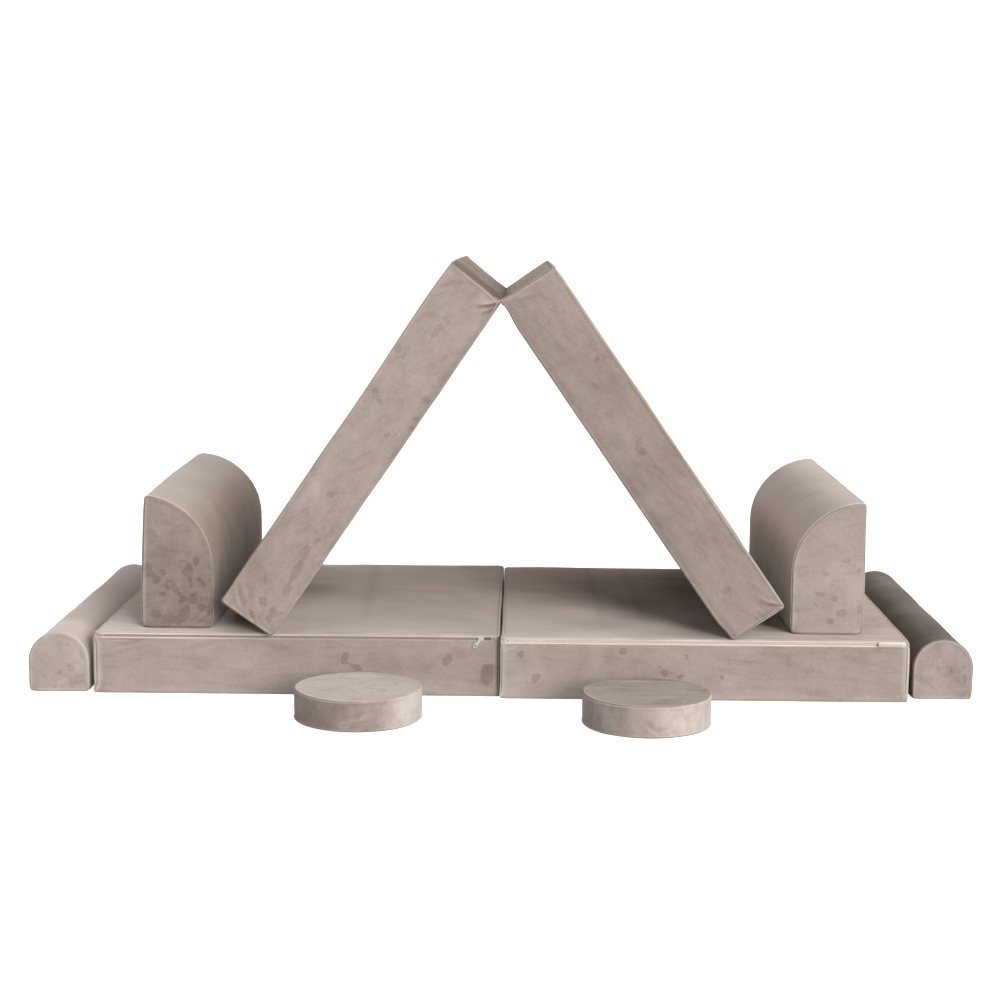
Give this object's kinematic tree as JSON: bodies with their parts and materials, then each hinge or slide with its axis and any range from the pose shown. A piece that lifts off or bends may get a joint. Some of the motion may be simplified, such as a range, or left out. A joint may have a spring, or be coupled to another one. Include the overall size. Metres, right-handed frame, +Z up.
{
  "type": "modular foam play sofa",
  "caption": "Soft play sofa of zipped velvet foam modules: base mats with a hinged tent, quarter-round blocks, half-round rolls and stepping discs.",
  "frame": {"origin": "on the floor, under the middle of the whole layout's box", "axes": "+X to the right along the two base mats, +Y from the discs in front to the back, +Z up"},
  "size_m": [1.88, 1.1216, 0.8459],
  "materials": {
    "velvet": "short-pile taupe velvet, nap brushed in patches",
    "foam": "open-cell foam",
    "zip": "woven tape with nylon coil",
    "zip_metal": "satin plated"
  },
  "bodies": {
    "left_base": {"left_base_cover": "velvet", "left_base_foam": "foam", "left_base_zip": "zip"},
    "right_base": {"right_base_cover": "velvet", "right_base_foam": "foam", "right_base_zip": "zip"},
    "left_tent": {"left_tent_cover": "velvet", "left_tent_foam": "foam", "left_tent_zip": "zip", "tent_hinge_seam": "velvet"},
    "right_tent": {"right_tent_cover": "velvet", "right_tent_foam": "foam", "right_tent_zip": "zip"},
    "left_quarter": {"left_quarter_cover": "velvet", "left_quarter_foam": "foam", "left_quarter_zip": "zip"},
    "right_quarter": {"right_quarter_cover": "velvet", "right_quarter_foam": "foam", "right_quarter_zip": "zip"},
    "left_roll": {"left_roll_cover": "velvet", "left_roll_foam": "foam", "left_roll_zip": "zip"},
    "right_roll": {"right_roll_cover": "velvet", "right_roll_foam": "foam", "right_roll_zip": "zip"},
    "left_disc": {"left_disc_cover": "velvet", "left_disc_foam": "foam", "left_disc_zip": "zip"},
    "right_disc": {"right_disc_cover": "velvet", "right_disc_foam": "foam", "right_disc_zip": "zip"},
    "left_base_zip_slider": {"left_base_zip_slider": "zip_metal"},
    "left_base_zip_pull": {"left_base_zip_pull": "zip_metal"},
    "right_base_zip_slider": {"right_base_zip_slider": "zip_metal"},
    "right_base_zip_pull": {"right_base_zip_pull": "zip_metal"},
    "left_tent_zip_slider": {"left_tent_zip_slider": "zip_metal"},
    "left_tent_zip_pull": {"left_tent_zip_pull": "zip_metal"},
    "right_tent_zip_slider": {"right_tent_zip_slider": "zip_metal"},
    "right_tent_zip_pull": {"right_tent_zip_pull": "zip_metal"},
    "left_quarter_zip_slider": {"left_quarter_zip_slider": "zip_metal"},
    "left_quarter_zip_pull": {"left_quarter_zip_pull": "zip_metal"},
    "right_quarter_zip_slider": {"right_quarter_zip_slider": "zip_metal"},
    "right_quarter_zip_pull": {"right_quarter_zip_pull": "zip_metal"},
    "left_roll_zip_slider": {"left_roll_zip_slider": "zip_metal"},
    "left_roll_zip_pull": {"left_roll_zip_pull": "zip_metal"},
    "right_roll_zip_slider": {"right_roll_zip_slider": "zip_metal"},
    "right_roll_zip_pull": {"right_roll_zip_pull": "zip_metal"},
    "left_disc_zip_slider": {"left_disc_zip_slider": "zip_metal"},
    "left_disc_zip_pull": {"left_disc_zip_pull": "zip_metal"},
    "right_disc_zip_slider": {"right_disc_zip_slider": "zip_metal"},
    "right_disc_zip_pull": {"right_disc_zip_pull": "zip_metal"}
  },
  "joints": [
    {"name": "right_base_slide", "type": "slide", "parent": "left_base", "child": "right_base", "axis": [0, 1, 0], "range_m": [0, 0.15]},
    {"name": "left_tent_lean", "type": "hinge", "parent": "left_base", "child": "left_tent", "pos_m": [-0.45823, 0, 0.1283], "axis": [0, -1, 0], "range_deg": [0, 31]},
    {"name": "tent_fold", "type": "hinge", "parent": "left_tent", "child": "right_tent", "pos_m": [0, 0, 0.77799], "axis": [0, 1, 0], "range_deg": [0, 62]},
    {"name": "left_quarter_lift", "type": "slide", "parent": "left_base", "child": "left_quarter", "axis": [0, 0, 1], "range_m": [0, 0.25]},
    {"name": "right_quarter_lift", "type": "slide", "parent": "right_base", "child": "right_quarter", "axis": [0, 0, 1], "range_m": [0, 0.25]},
    {"name": "left_roll_lift", "type": "slide", "parent": "left_base", "child": "left_roll", "axis": [0, 0, 1], "range_m": [0, 0.25]},
    {"name": "right_roll_lift", "type": "slide", "parent": "left_base", "child": "right_roll", "axis": [0, 0, 1], "range_m": [0, 0.25]},
    {"name": "left_disc_lift", "type": "slide", "parent": "left_base", "child": "left_disc", "axis": [0, 0, 1], "range_m": [0, 0.25]},
    {"name": "right_disc_lift", "type": "slide", "parent": "left_base", "child": "right_disc", "axis": [0, 0, 1], "range_m": [0, 0.25]},
    {"name": "left_base_zip_run", "type": "slide", "parent": "left_base", "child": "left_base_zip_slider", "axis": [1, 0, 0], "range_m": [-0.7405, 0.0135]},
    {"name": "right_base_zip_run", "type": "slide", "parent": "right_base", "child": "right_base_zip_slider", "axis": [1, 0, 0], "range_m": [-0.754, 0]},
    {"name": "left_tent_zip_run", "type": "slide", "parent": "left_tent", "child": "left_tent_zip_slider", "axis": [0, -1, 0], "range_m": [0, 0.722]},
    {"name": "right_tent_zip_run", "type": "slide", "parent": "right_tent", "child": "right_tent_zip_slider", "axis": [0, -1, 0], "range_m": [0, 0.722]},
    {"name": "left_quarter_zip_run", "type": "slide", "parent": "left_quarter", "child": "left_quarter_zip_slider", "axis": [0, -1, 0], "range_m": [0, 0.662]},
    {"name": "right_quarter_zip_run", "type": "slide", "parent": "right_quarter", "child": "right_quarter_zip_slider", "axis": [0, -1, 0], "range_m": [0, 0.662]},
    {"name": "left_roll_zip_run", "type": "slide", "parent": "left_roll", "child": "left_roll_zip_slider", "axis": [0, -1, 0], "range_m": [0, 0.702]},
    {"name": "right_roll_zip_run", "type": "slide", "parent": "right_roll", "child": "right_roll_zip_slider", "axis": [0, -1, 0], "range_m": [0, 0.702]},
    {"name": "left_disc_zip_run", "type": "hinge", "parent": "left_disc", "child": "left_disc_zip_slider", "pos_m": [-0.266, -0.41725, 0.034], "axis": [0, 0, 1], "range_deg": [0, 128]},
    {"name": "right_disc_zip_run", "type": "hinge", "parent": "right_disc", "child": "right_disc_zip_slider", "pos_m": [0.278, -0.44025, 0.034], "axis": [0, 0, -1], "range_deg": [0, 128]},
    {"name": "left_base_pull_swing", "type": "hinge", "parent": "left_base_zip_slider", "child": "left_base_zip_pull", "pos_m": [-0.0383, -0.24025, 0.115], "axis": [0, -1, 0], "range_deg": [-45, 125]},
    {"name": "right_base_pull_swing", "type": "hinge", "parent": "right_base_zip_slider", "child": "right_base_zip_pull", "pos_m": [0.7788, -0.25725, 0.115], "axis": [0, -1, 0], "range_deg": [0, 175]},
    {"name": "left_tent_pull_swing", "type": "hinge", "parent": "left_tent_zip_slider", "child": "left_tent_zip_pull", "pos_m": [-0.55049, 0.49825, 0.18478], "axis": [-0.5686, 0, -0.8226], "range_deg": [-85, 85]},
    {"name": "right_tent_pull_swing", "type": "hinge", "parent": "right_tent_zip_slider", "child": "right_tent_zip_pull", "pos_m": [0.55049, 0.49825, 0.18478], "axis": [0.5686, 0, -0.8226], "range_deg": [-85, 85]},
    {"name": "left_quarter_pull_swing", "type": "hinge", "parent": "left_quarter_zip_slider", "child": "left_quarter_zip_pull", "pos_m": [-0.718, 0.50975, 0.1563], "axis": [-1, 0, 0], "range_deg": [-85, 85]},
    {"name": "right_quarter_pull_swing", "type": "hinge", "parent": "right_quarter_zip_slider", "child": "right_quarter_zip_pull", "pos_m": [0.721, 0.50475, 0.1563], "axis": [1, 0, 0], "range_deg": [-85, 85]},
    {"name": "left_roll_pull_swing", "type": "hinge", "parent": "left_roll_zip_slider", "child": "left_roll_zip_pull", "pos_m": [-0.935, 0.50475, 0.034], "axis": [-1, 0, 0], "range_deg": [-85, 85]},
    {"name": "right_roll_pull_swing", "type": "hinge", "parent": "right_roll_zip_slider", "child": "right_roll_zip_pull", "pos_m": [0.935, 0.51125, 0.034], "axis": [1, 0, 0], "range_deg": [-85, 85]},
    {"name": "left_disc_pull_swing", "type": "hinge", "parent": "left_disc_zip_slider", "child": "left_disc_zip_pull", "pos_m": [-0.1577, -0.36443, 0.034], "axis": [0.8988, 0.4384, 0], "range_deg": [-85, 85]},
    {"name": "right_disc_pull_swing", "type": "hinge", "parent": "right_disc_zip_slider", "child": "right_disc_zip_pull", "pos_m": [0.1697, -0.38743, 0.034], "axis": [-0.8988, 0.4384, 0], "range_deg": [-85, 85]}
  ],
  "couplings": [
    {"joint": "tent_fold", "follows": "left_tent_lean", "ratio": 2}
  ]
}
